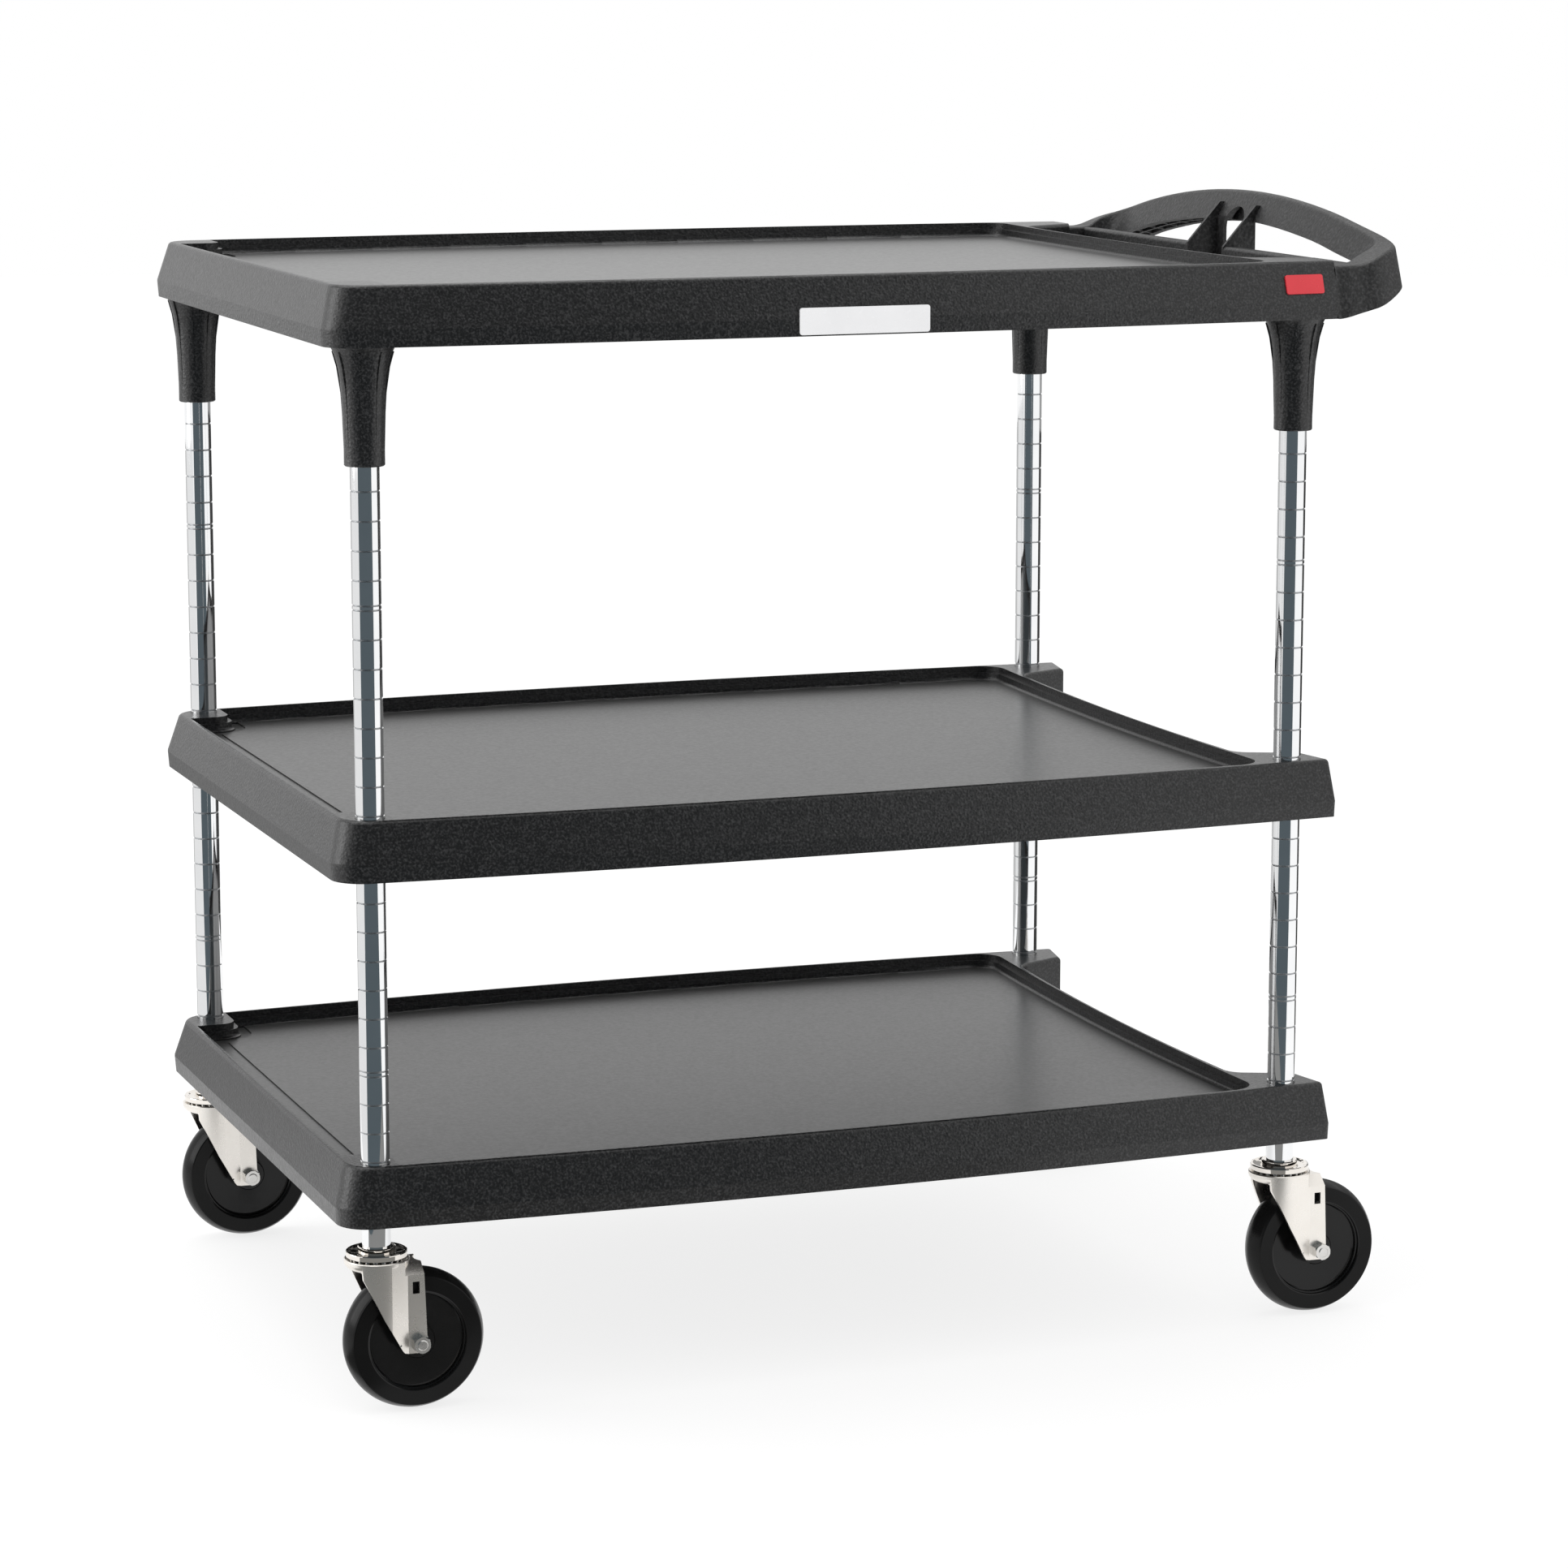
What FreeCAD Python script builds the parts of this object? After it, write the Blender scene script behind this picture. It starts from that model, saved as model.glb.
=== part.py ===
import FreeCAD, Part
import math
import os

# Three-shelf polymer utility cart: grooved chrome posts, swivel casters and a height-adjustable top
# shelf with an arched push handle.  Units mm, +Z up, floor at z = 0, +X towards the handle,
# origin on the floor in the middle of the overall footprint.

# ---- posts ---------------------------------------------------------------------------------------
POST_X = 435.7            # half spacing of the posts along X, about the shelf middle
POST_Y = 304.6            # half spacing of the posts along Y
SHELF_MID_X = -38.0       # middle of the shelves: the handle overhang shifts it off the origin
POST_R = 12.7
POST_WALL = 1.5
POST_BOTTOM = 145.9
POST_TOP = 876.0
PITCH = 25.4              # groove spacing
GROOVE_0 = 302.0          # first groove of the numbered row
GROOVE_FIRST = -3
GROOVE_LAST = 22
GROOVE_DEPTH = 0.8
GROOVE_WIDTH = 1.6
DOUBLE_EVERY = 8          # every eighth groove is a pair
DOUBLE_GAP = 4.0
FIT = 0.05                # radial running clearance of sliding and turning fits

# ---- shelves -------------------------------------------------------------------------------------
TRAY_H = 52.0
BOTTOM_TOP = 222.7        # rim top of the bottom shelf
MIDDLE_STEPS = 12         # middle shelf sits this many groove steps above the bottom one
TOP_STEPS = 30
MIDDLE_TOP = BOTTOM_TOP + MIDDLE_STEPS * PITCH
TOP_TOP = BOTTOM_TOP + TOP_STEPS * PITCH
END_X = 462.0             # plain end, top edge
EAR_X = 473.0             # ear end faces at their outer corner
EAR_IN_X = 464.0          # and at their inner corner
SIDE_Y = 321.8            # side, top edge, at the ends
SIDE_BOW = 14.0           # outward bow of the long sides at mid length
ARC_X = 401.6             # concave handle end, top edge, middle
ARC_X_SIDE = 410.0        # same edge where it meets the ears
EAR_IN_Y = 275.0          # inner corner of the ear end face
ARC_Y = 252.0             # where the concave edge starts
END_FLARE = 10.0          # how far the skirt stands out below the top edge, plain end
SIDE_FLARE = 12.0         # same, long sides
BAND_H = 15.0             # height of the near-vertical lower band
BAND_TAPER = 1.0
SKIRT_WALL = 4.0
CORNER_R = 30.0
EAR_R = 4.0
TOP_EDGE_R = 4.2
RIM_W = 5.0               # flat top of the rim
LEDGE_DROP = 6.0
LEDGE_W = 4.0
BORDER_W = 21.5           # border strip at the plain end, sunk below the deck
BORDER_STEP = 1.2
DECK_DROP = 13.5
DECK_T = 4.0
PAD_X = 44.5              # raised pad round each post at the plain end
PAD_Y = 52.0
PAD_R = 15.0
WELL_R = 25.0
RIB_T = 3.5
RIB_H = 14.0
COLLAR_R = 22.0
PLATE_T = 4.0             # pad thickness above the collar

# ---- split sleeves -------------------------------------------------------------------------------
SLEEVE_H = 38.0
SLEEVE_R_TOP = 14.6
SLEEVE_R_LOW = 16.4
SLEEVE_SLIT = 1.0
SLEEVE_DROP = 5.0         # sleeve top below the rim top

# ---- leg sockets of the top shelf ----------------------------------------------------------------
SOCKET_L = 101.6
SOCKET_SPIGOT_R = 18.5
SOCKET_BORE_R = 14.2
SOCKET_SLEEVE_Z = 4.0     # sleeve stands this far above the socket mouth

# ---- handle --------------------------------------------------------------------------------------
SEAM_X = 466.0
GRIP_X_OUT = 547.4        # outer face of the grip
GRIP_X_IN = 519.0         # inner face of the grip, lower edge
RAIL_X = 488.0            # cross rail face
RAIL_T = 14.0
OUT_R = 46.0              # plan corner of the handle, outside
OPEN_Y = 290.0            # inner face of the arms
OPEN_R = 22.0             # plan corner of the handle, inside
GRIP_TOP = 1030.3         # crown of the arch
GRIP_LOW_IN = 1003.3      # lower edges of the grip's two walls at mid width
GRIP_LOW_OUT = 999.3
ARCH_TOP_R = 1270.0
ARCH_LOW_IN_R = 1243.0
ARCH_LOW_OUT_R = 1150.0
GRIP_LEAN_IN = 13.0       # how far the grip's inner wall leans back towards the crown
GRIP_LEAN_OUT = 6.5
ARM_TOP = 980.0
ARM_LEAN_OUT = 9.0
RAIL_TOP = 979.6
RAIL_H = 34.0
HANDLE_WALL = 3.5
CELL_PITCH = 30.0
GUSSET_Y = 40.0
GUSSET_T = 3.5
SLOT_HALF = 24.0

# ---- casters -------------------------------------------------------------------------------------
WHEEL_R = 63.5
WHEEL_W = 32.0
TRAIL = 32.0
TREAD_IN_R = 45.2
CUP_LOW = 139.9
CROWN_R = 28.75
CROWN_TOP = 138.4
BALL_R = 2.5
BALL_RING_R = 21.5
BALL_COUNT = 20
KING_R = 6.0
LEG_OUT_Y = 23.0          # outer face of the legs' flat rear strips
PANEL_X0 = 5.0            # the angled panel runs between the round front and the rear strip
PANEL_X1 = 21.5
SHEET = 3.0
ROOF_LOW = 125.5          # fold between a leg and the roof behind the crown
ROOF_TOP = 134.4
AXLE_R = 4.75
NUT_AF = 14.3
NUT_H = 8.2

V = FreeCAD.Vector
Z_AXIS = V(0, 0, 1)
os.makedirs("parts", exist_ok=True)
CORNERS = {"fl": (-1, -1), "fr": (-1, 1), "hl": (1, -1), "hr": (1, 1)}


def corner_xy(name):
    sx, sy = CORNERS[name]
    return SHELF_MID_X + sx * POST_X, sy * POST_Y


def save(name, shape):
    shape.exportStep("parts/%s.step" % name)


def cyl(r, z0, z1, x=0.0, y=0.0):
    return Part.makeCylinder(r, z1 - z0, V(x, y, z0), Z_AXIS)


def cone(r0, r1, z0, z1, x=0.0, y=0.0):
    return Part.makeCone(r0, r1, z1 - z0, V(x, y, z0), Z_AXIS)


def box(x0, x1, y0, y1, z0, z1):
    return Part.makeBox(x1 - x0, y1 - y0, z1 - z0, V(x0, y0, z0))


def prism(points, z0, z1):
    wire = Part.makePolygon([V(x, y, z0) for x, y in points] + [V(points[0][0], points[0][1], z0)])
    return Part.Face(wire).extrude(V(0, 0, z1 - z0))


def slab_xz(points, y0, y1):
    wire = Part.makePolygon([V(x, y0, z) for x, z in points] + [V(points[0][0], y0, points[0][1])])
    return Part.Face(wire).extrude(V(0, y1 - y0, 0))


def revolve(points, axis_point, axis_dir, to_vector):
    pts = [to_vector(r, h) for r, h in points]
    face = Part.Face(Part.makePolygon(pts + [pts[0]]))
    return face.revolve(axis_point, axis_dir, 360)


def turned(points, x=0.0, y=0.0):
    return revolve(points, V(x, y, 0), Z_AXIS, lambda r, h: V(x + r, y, h))


def turned_y(points, x, z):
    return revolve(points, V(x, 0, z), V(0, 1, 0), lambda r, h: V(x + r, h, z))


def fillet_where(shape, radius, test):
    edges = [e for e in shape.Edges if test(e)]
    return shape.makeFillet(radius, edges) if edges else shape


def span(edge):
    b = edge.BoundBox
    return b.XLength, b.YLength, b.ZLength


# ==================================================================================================
# shelves
# ==================================================================================================
def bow_radius(half_chord, rise):
    return (half_chord ** 2 + rise ** 2) / (2 * rise)


SIDE_R = bow_radius(POST_X, SIDE_BOW)


def side_y(x, offset=0.0):
    """Half width of the tray's top edge at x, moved outwards by offset."""
    return math.sqrt((SIDE_R + offset) ** 2 - x ** 2) - SIDE_R + SIDE_Y + SIDE_BOW


def between_bows(levels):
    """Region between the two bowed long sides; levels are (z, outward offset) pairs."""
    drum = [(0, levels[0][0])] + [(SIDE_R + off, z) for z, off in levels] + [(0, levels[-1][0])]
    y_mid = SIDE_Y + SIDE_BOW - SIDE_R
    return turned(drum, 0, y_mid).common(turned(drum, 0, -y_mid))


def handle_bay(z0, z1, inset):
    """Space in front of the concave end: between the ears and outside the arc."""
    p = lambda x, y: V(x, y, z0)
    x_arc, x_root, y_arc = ARC_X - inset, ARC_X_SIDE - inset, ARC_Y + inset
    slant = (EAR_IN_Y - ARC_Y) / (EAR_IN_X - ARC_X_SIDE)
    y_out = y_arc + slant * (700 - x_root)
    wire = Part.Wire([
        Part.Arc(p(x_root, -y_arc), p(x_arc, 0), p(x_root, y_arc)).toShape(),
        Part.LineSegment(p(x_root, y_arc), p(700, y_out)).toShape(),
        Part.LineSegment(p(700, y_out), p(700, -y_out)).toShape(),
        Part.LineSegment(p(700, -y_out), p(x_root, -y_arc)).toShape(),
    ])
    bay = Part.Face(wire).extrude(V(0, 0, z1 - z0))
    return fillet_where(bay, 18.0, lambda e: span(e)[2] > 1 and abs(e.BoundBox.Center.x - x_root) < 1)


def beyond_ears(z0, z1, inset):
    """Space outside the slanting end faces of the ears."""
    slope = (EAR_X - EAR_IN_X) / (SIDE_Y - EAR_IN_Y)
    near, far = (EAR_IN_X - inset + slope * (y - EAR_IN_Y) for y in (200, 400))
    return [prism([(near, s * 200), (far, s * 400), (600, s * 400), (600, s * 200)], z0, z1) for s in (-1, 1)]


def skirt(shrink, z_low, z_high, joined):
    """Outer body of the tray between two heights, pulled inwards by shrink.  A joined tray has
    upright ear ends that meet the handle."""
    band = -TRAY_H + BAND_H
    stages = [(z_low, 1.0, BAND_TAPER), (band, 1.0, 0.0), (z_high, z_high / band, 0.0)]
    sides = between_bows([(z, SIDE_FLARE * part - taper - shrink) for z, part, taper in stages])
    ends = [(-END_X - END_FLARE * part + taper + shrink, z) for z, part, taper in stages]
    for z, part, taper in reversed(stages):
        ends.append((SEAM_X - shrink if joined else EAR_X + 20, z))
    body = sides.common(slab_xz(ends, -400, 400))
    body = body.cut(handle_bay(z_low - 1, z_high + 1, shrink))
    corner_r = {-1: CORNER_R - shrink}
    if not joined:
        body = body.cut(beyond_ears(z_low - 1, z_high + 1, shrink))
        if shrink < EAR_R:
            corner_r[1] = EAR_R - shrink
    for sx, r in corner_r.items():
        corners = lambda e: span(e)[2] > 5 and e.BoundBox.Center.x * sx > 430 and abs(e.BoundBox.Center.y) > 300
        body = fillet_where(body, r, corners)
    return body


def pocket(x_left, inset, depth, corner_r):
    """Upright pocket bounded by the bowed sides, the concave end and a straight end at x_left."""
    p = lambda x, y: V(x, y, -depth)
    x_right = ARC_X_SIDE - inset + 2.0
    yl, yr = side_y(x_left, -inset), side_y(x_right, -inset)
    ym = side_y(0, -inset)
    wire = Part.Wire([
        Part.LineSegment(p(x_left, yl), p(x_left, -yl)).toShape(),
        Part.Arc(p(x_left, -yl), p(0, -ym), p(x_right, -yr)).toShape(),
        Part.Arc(p(x_right, -yr), p(ARC_X - inset, 0), p(x_right, yr)).toShape(),
        Part.Arc(p(x_right, yr), p(0, ym), p(x_left, yl)).toShape(),
    ])
    solid = Part.Face(wire).extrude(V(0, 0, depth + 10.0))
    return fillet_where(solid, corner_r, lambda e: span(e)[2] > 5 and e.BoundBox.Center.x > 300)


def post_pad(sy, grow):
    """Block that stays at rim height round a post of the plain end."""
    x1 = -END_X + PAD_X + grow
    y0, y1 = sorted((sy * (SIDE_Y - PAD_Y - grow), sy * (SIDE_Y + 40)))
    pad = box(-END_X - 20, x1, y0, y1, -TRAY_H, 30)
    return fillet_where(pad, PAD_R + grow,
                        lambda e: span(e)[2] > 5 and e.BoundBox.Center.x > x1 - 1 and abs(e.BoundBox.Center.y) < 300)


def well():
    """Recess of the deck: a shallow border ledge and the flat deck pocket inside it."""
    upper = pocket(-END_X + RIM_W, RIM_W, LEDGE_DROP, WELL_R)
    x_border = -END_X + RIM_W + LEDGE_W
    lower = pocket(x_border, RIM_W + LEDGE_W, DECK_DROP, WELL_R)
    strip = pocket(x_border + 3.2, RIM_W + LEDGE_W + 3.2, DECK_DROP + BORDER_STEP, WELL_R)
    island = box(x_border + BORDER_W, 500, -400, 400, -TRAY_H, 30)
    for sy in (-1, 1):
        upper = upper.cut(post_pad(sy, 0.0))
        lower = lower.cut(post_pad(sy, LEDGE_W))
        strip = strip.cut(post_pad(sy, LEDGE_W + 3.2))
        island = island.cut(post_pad(sy, LEDGE_W + 13.0))
    left = lambda e: span(e)[2] > 5 and e.BoundBox.Center.x < x_border + BORDER_W + 0.1
    island = fillet_where(island, 6.0, left)
    floor_edges = lambda e: span(e)[2] < 0.01 and abs(e.BoundBox.ZMin + DECK_DROP) < 0.01
    lower = fillet_where(lower, 3.0, floor_edges)
    return upper.fuse([lower, strip.cut(island)])


def underside_ribs(top):
    low = top - RIB_H
    ribs = []
    for i in range(-2, 3):
        y = i * 120.0
        ribs.append(box(-450, 390, y - RIB_T / 2, y + RIB_T / 2, low, top + 1))
    for i in range(-3, 4):
        x = i * 120.0 - 20.0
        ribs.append(box(x - RIB_T / 2, x + RIB_T / 2, -325, 325, low, top + 1))
    for sx in (-1, 1):
        for sy in (-1, 1):
            ribs.append(cyl(COLLAR_R, -TRAY_H, top + 1, sx * POST_X, sy * POST_Y))
    return ribs


def tray(joined):
    """One shelf, drawn with its rim top at z = 0 and its middle at x = 0."""
    body = skirt(0.0, -TRAY_H, 0.0, joined)
    body = fillet_where(body, TOP_EDGE_R, lambda e: span(e)[2] < 0.01 and abs(e.BoundBox.ZMin) < 0.01
                        and not (joined and e.BoundBox.Center.x > SEAM_X - 0.5))
    under = -DECK_DROP - DECK_T
    cavity = skirt(SKIRT_WALL, -TRAY_H - 1, under, joined)
    for rib in underside_ribs(under):
        cavity = cavity.cut(rib)
    body = body.cut(cavity).cut(well())
    for sx in (-1, 1):
        for sy in (-1, 1):
            x, y = sx * POST_X, sy * POST_Y
            if joined:
                body = body.cut(cyl(SOCKET_SPIGOT_R + FIT, -TRAY_H - 1, -PLATE_T, x, y))
                continue
            sleeve_low = -SLEEVE_DROP - SLEEVE_H
            body = body.cut(cyl(POST_R + 0.3, -TRAY_H - 1, 1, x, y))
            body = body.cut(cone(SLEEVE_R_LOW + FIT, SLEEVE_R_TOP + FIT, sleeve_low, -SLEEVE_DROP + FIT, x, y))
            body = body.cut(cyl(SLEEVE_R_LOW + FIT, -TRAY_H - 1, sleeve_low, x, y))
    return body.removeSplitter()


def split_sleeves(z_top):
    """Four two-piece tapered sleeves, one round each post."""
    halves = []
    for name in CORNERS:
        x, y = corner_xy(name)
        z0 = z_top - SLEEVE_H
        ring = cone(SLEEVE_R_LOW, SLEEVE_R_TOP, z0, z_top, x, y).cut(cyl(POST_R + FIT, z0 - 1, z_top + 1, x, y))
        for s in (-1, 1):
            y0, y1 = sorted((y + s * SLEEVE_SLIT / 2, y + s * 30))
            halves.append(ring.common(box(x - 30, x + 30, y0, y1, z0 - 1, z_top + 1)))
    return Part.makeCompound(halves)


base_tray = tray(False)
bottom_shelf = base_tray.translated(V(SHELF_MID_X, 0, BOTTOM_TOP))
middle_shelf = base_tray.translated(V(SHELF_MID_X, 0, MIDDLE_TOP))
top_tray = tray(True)
top_shelf = top_tray.translated(V(SHELF_MID_X, 0, TOP_TOP))
save("bottom_shelf", bottom_shelf)
save("middle_shelf", middle_shelf)
save("top_shelf", top_shelf)
save("bottom_sleeves", split_sleeves(BOTTOM_TOP - SLEEVE_DROP))
save("middle_sleeves", split_sleeves(MIDDLE_TOP - SLEEVE_DROP))


# ==================================================================================================
# posts
# ==================================================================================================
def groove_levels():
    levels = []
    for k in range(GROOVE_FIRST, GROOVE_LAST + 1):
        z = GROOVE_0 + k * PITCH
        levels.append(z)
        if k >= 0 and k % DOUBLE_EVERY == 0:
            levels.append(z + DOUBLE_GAP)
    return levels


def post(x, y):
    profile = [(POST_R - POST_WALL, POST_BOTTOM), (POST_R, POST_BOTTOM)]
    for z in groove_levels():
        profile.append((POST_R, z - GROOVE_WIDTH / 2))
        profile.append((POST_R - GROOVE_DEPTH, z - GROOVE_WIDTH / 4))
        profile.append((POST_R - GROOVE_DEPTH, z + GROOVE_WIDTH / 4))
        profile.append((POST_R, z + GROOVE_WIDTH / 2))
    profile += [(POST_R, POST_TOP), (POST_R - POST_WALL, POST_TOP)]
    return turned(profile, x, y)


caps = []
for name in CORNERS:
    x, y = corner_xy(name)
    save("post_" + name, post(x, y))
    plug = cyl(POST_R - POST_WALL - 0.02, POST_TOP - 12, POST_TOP, x, y)
    caps.append(plug.fuse(cyl(POST_R - 0.3, POST_TOP, POST_TOP + 1.4, x, y)))
save("post_caps", Part.makeCompound(caps))


# ==================================================================================================
# leg sockets under the top shelf
# ==================================================================================================
SOCKET_TOP = TOP_TOP - TRAY_H
SOCKET_LOW = SOCKET_TOP - SOCKET_L
SOCKET_PROFILE = [          # outer radius against height above the socket mouth
    (16.6, 0.0), (17.5, 1.0), (17.6, 25.0), (18.2, 45.0), (19.0, 60.0), (20.3, 75.0),
    (22.2, 86.0), (24.8, 95.0), (28.0, SOCKET_L)]


def leg_socket(x, y):
    pts = [V(x + r, y, SOCKET_LOW + h) for r, h in SOCKET_PROFILE]
    flare = Part.BSplineCurve()
    flare.interpolate(pts[1:])
    spigot_top = TOP_TOP - PLATE_T
    rest = Part.makePolygon([pts[-1], V(x + SOCKET_SPIGOT_R, y, SOCKET_TOP), V(x + SOCKET_SPIGOT_R, y, spigot_top),
                             V(x, y, spigot_top), V(x, y, SOCKET_LOW), pts[0], pts[1]])
    face = Part.Face(Part.Wire([flare.toShape()] + rest.Edges))
    body = face.revolve(V(x, y, 0), Z_AXIS, 360)
    sleeve_top = SOCKET_LOW + SOCKET_SLEEVE_Z + SLEEVE_H
    wall_r = SLEEVE_R_LOW - 0.4
    body = body.cut(cyl(SOCKET_BORE_R, SOCKET_LOW - 1, spigot_top + 1, x, y))
    body = body.cut(cone(wall_r + FIT, SLEEVE_R_TOP + FIT, SOCKET_LOW + SOCKET_SLEEVE_Z, sleeve_top + FIT, x, y))
    body = body.cut(cyl(POST_R + 1.6, SOCKET_LOW - 1, SOCKET_LOW + SOCKET_SLEEVE_Z, x, y))
    for i in range(8):
        a = math.radians(22.5 + 45.0 * i)
        rib = slab_xz([(17.0, 14.0), (17.5, 14.0), (18.5, 45.0), (19.6, 62.0), (22.9, 84.0), (26.6, 97.0),
                       (20.0, 97.0)], -0.8, 0.8)
        rib = rib.translated(V(0, 0, SOCKET_LOW))
        rib.rotate(V(0, 0, 0), Z_AXIS, math.degrees(a))
        body = body.fuse(rib.translated(V(x, y, 0)))
    return body.removeSplitter()


def socket_sleeve(x, y):
    z0 = SOCKET_LOW + SOCKET_SLEEVE_Z
    ring = cone(SLEEVE_R_LOW - 0.4, SLEEVE_R_TOP, z0, z0 + SLEEVE_H, x, y)
    ring = ring.cut(cyl(POST_R + FIT, z0 - 1, z0 + SLEEVE_H + 1, x, y))
    halves = []
    for s in (-1, 1):
        y0, y1 = sorted((y + s * SLEEVE_SLIT / 2, y + s * 30))
        halves.append(ring.common(box(x - 30, x + 30, y0, y1, z0 - 1, z0 + SLEEVE_H + 1)))
    return halves


top_sleeves = []
for name in CORNERS:
    x, y = corner_xy(name)
    save("leg_socket_" + name, leg_socket(x, y))
    top_sleeves += socket_sleeve(x, y)
save("top_sleeves", Part.makeCompound(top_sleeves))


# ==================================================================================================
# push handle
# ==================================================================================================
def arch(crown, radius, y):
    return crown - radius + math.sqrt(radius ** 2 - y ** 2)


def handle_stations():
    """Sections along one half of the handle, from the seam to mid grip: inner and outer plan points,
    lower edge heights inside and outside, top height, and the lean of the two walls."""
    y_side = side_y(SEAM_X, SIDE_FLARE)
    low = TOP_TOP - TRAY_H
    x_out, x_in = GRIP_X_OUT - OUT_R, GRIP_X_IN - OPEN_R
    arm = lambda x, rise, top: ((x, OPEN_Y), (x, y_side), low + rise, low + rise, top, 0.5, ARM_LEAN_OUT)
    stations = [arm(SEAM_X, 0.0, ARM_TOP), arm(SEAM_X + 10, 1.0, ARM_TOP), arm(SEAM_X + 20, 3.6, ARM_TOP)]
    corner = [(0.0, 7.5, 7.5, 2.5, 1.5, 9.0), (22.5, 18.0, 14.0, 8.5, 4.0, 9.0), (45.0, 28.0, 21.5, 13.0, 7.5, 8.5),
              (67.5, 36.5, 27.0, 16.5, 10.5, 7.5)]
    for angle, rise_in, rise_out, top, lean_in, lean_out in corner:
        sn, cs = math.sin(math.radians(angle)), math.cos(math.radians(angle))
        inner = (x_in + OPEN_R * sn, OPEN_Y - OPEN_R + OPEN_R * cs)
        outer = (x_out + OUT_R * sn, y_side - OUT_R + OUT_R * cs)
        stations.append((inner, outer, low + rise_in, low + rise_out, ARM_TOP + top, lean_in, lean_out))
    for y_in, y_out in ((OPEN_Y - OPEN_R, y_side - OUT_R), (235.0, 245.0), (190.0, 195.0), (140.0, 142.0),
                        (90.0, 90.0), (45.0, 45.0), (0.0, 0.0)):
        stations.append(((GRIP_X_IN, y_in), (GRIP_X_OUT, y_out), arch(GRIP_LOW_IN, ARCH_LOW_IN_R, y_in),
                         arch(GRIP_LOW_OUT, ARCH_LOW_OUT_R, y_out), arch(GRIP_TOP, ARCH_TOP_R, (y_in + y_out) / 2),
                         GRIP_LEAN_IN, GRIP_LEAN_OUT))
    return stations


def corner_arc(before, corner, after, radius):
    """Points where a round of that radius leaves both lines at a corner, and its middle point."""
    a = (before - corner).normalize()
    b = (after - corner).normalize()
    half = a.getAngle(b) / 2
    run = radius / math.tan(half)
    middle = (a + b).normalize() * (radius / math.sin(half) - radius)
    return corner + a * run, corner + middle, corner + b * run


def handle_section(station, side, shrink):
    """Closed wire of one section: two leaning walls under a rounded top, which the hollow has square."""
    inner, outer, low_in, low_out, top, lean_in, lean_out = station
    p_in, p_out = V(inner[0], side * inner[1], 0), V(outer[0], side * outer[1], 0)
    across = (p_out - p_in).normalize()
    width = (p_out - p_in).Length
    at = lambda u, z: p_in + across * u + V(0, 0, z)
    drop = 12.0 if shrink else 0.0
    a = at(shrink, low_in - drop)
    b = at(shrink + lean_in, top - shrink)
    c = at(width - shrink - lean_out, top - shrink)
    d = at(width - shrink, low_out - drop)
    if shrink:
        return Part.makePolygon([a, b, c, d, a])
    round_in = 2.5 + lean_in * 0.16
    round_out = 5.0 - lean_in * 0.04
    b0, b1, b2 = corner_arc(a, b, c, round_in)
    c0, c1, c2 = corner_arc(b, c, d, round_out)
    return Part.Wire([Part.LineSegment(a, b0).toShape(), Part.Arc(b0, b1, b2).toShape(),
                      Part.LineSegment(b2, c0).toShape(), Part.Arc(c0, c1, c2).toShape(),
                      Part.LineSegment(c2, d).toShape(), Part.LineSegment(d, a).toShape()])


def handle_loft(shrink):
    half = handle_stations()
    wires = [handle_section(st, -1, shrink) for st in half]
    wires += [handle_section(st, 1, shrink) for st in reversed(half[:-1])]
    return Part.makeLoft(wires, True, False)


def push_handle():
    hollow = handle_loft(HANDLE_WALL).cut(box(SEAM_X - 40, SEAM_X + HANDLE_WALL, -400, 400, 800, 1200))
    mid_x = (GRIP_X_IN + GRIP_X_OUT) / 2
    ribs = [box(mid_x - 1.2, mid_x + 1.2, -OPEN_Y + 30, OPEN_Y - 30, 850, 1100)]
    count = int(OPEN_Y // CELL_PITCH)
    for i in range(-count, count + 1):
        y = i * CELL_PITCH
        ribs.append(box(GRIP_X_IN, GRIP_X_OUT, y - 1.2, y + 1.2, 850, 1100))
    for rib in ribs:
        hollow = hollow.cut(rib)
    return handle_loft(0.0).cut(hollow)


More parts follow.
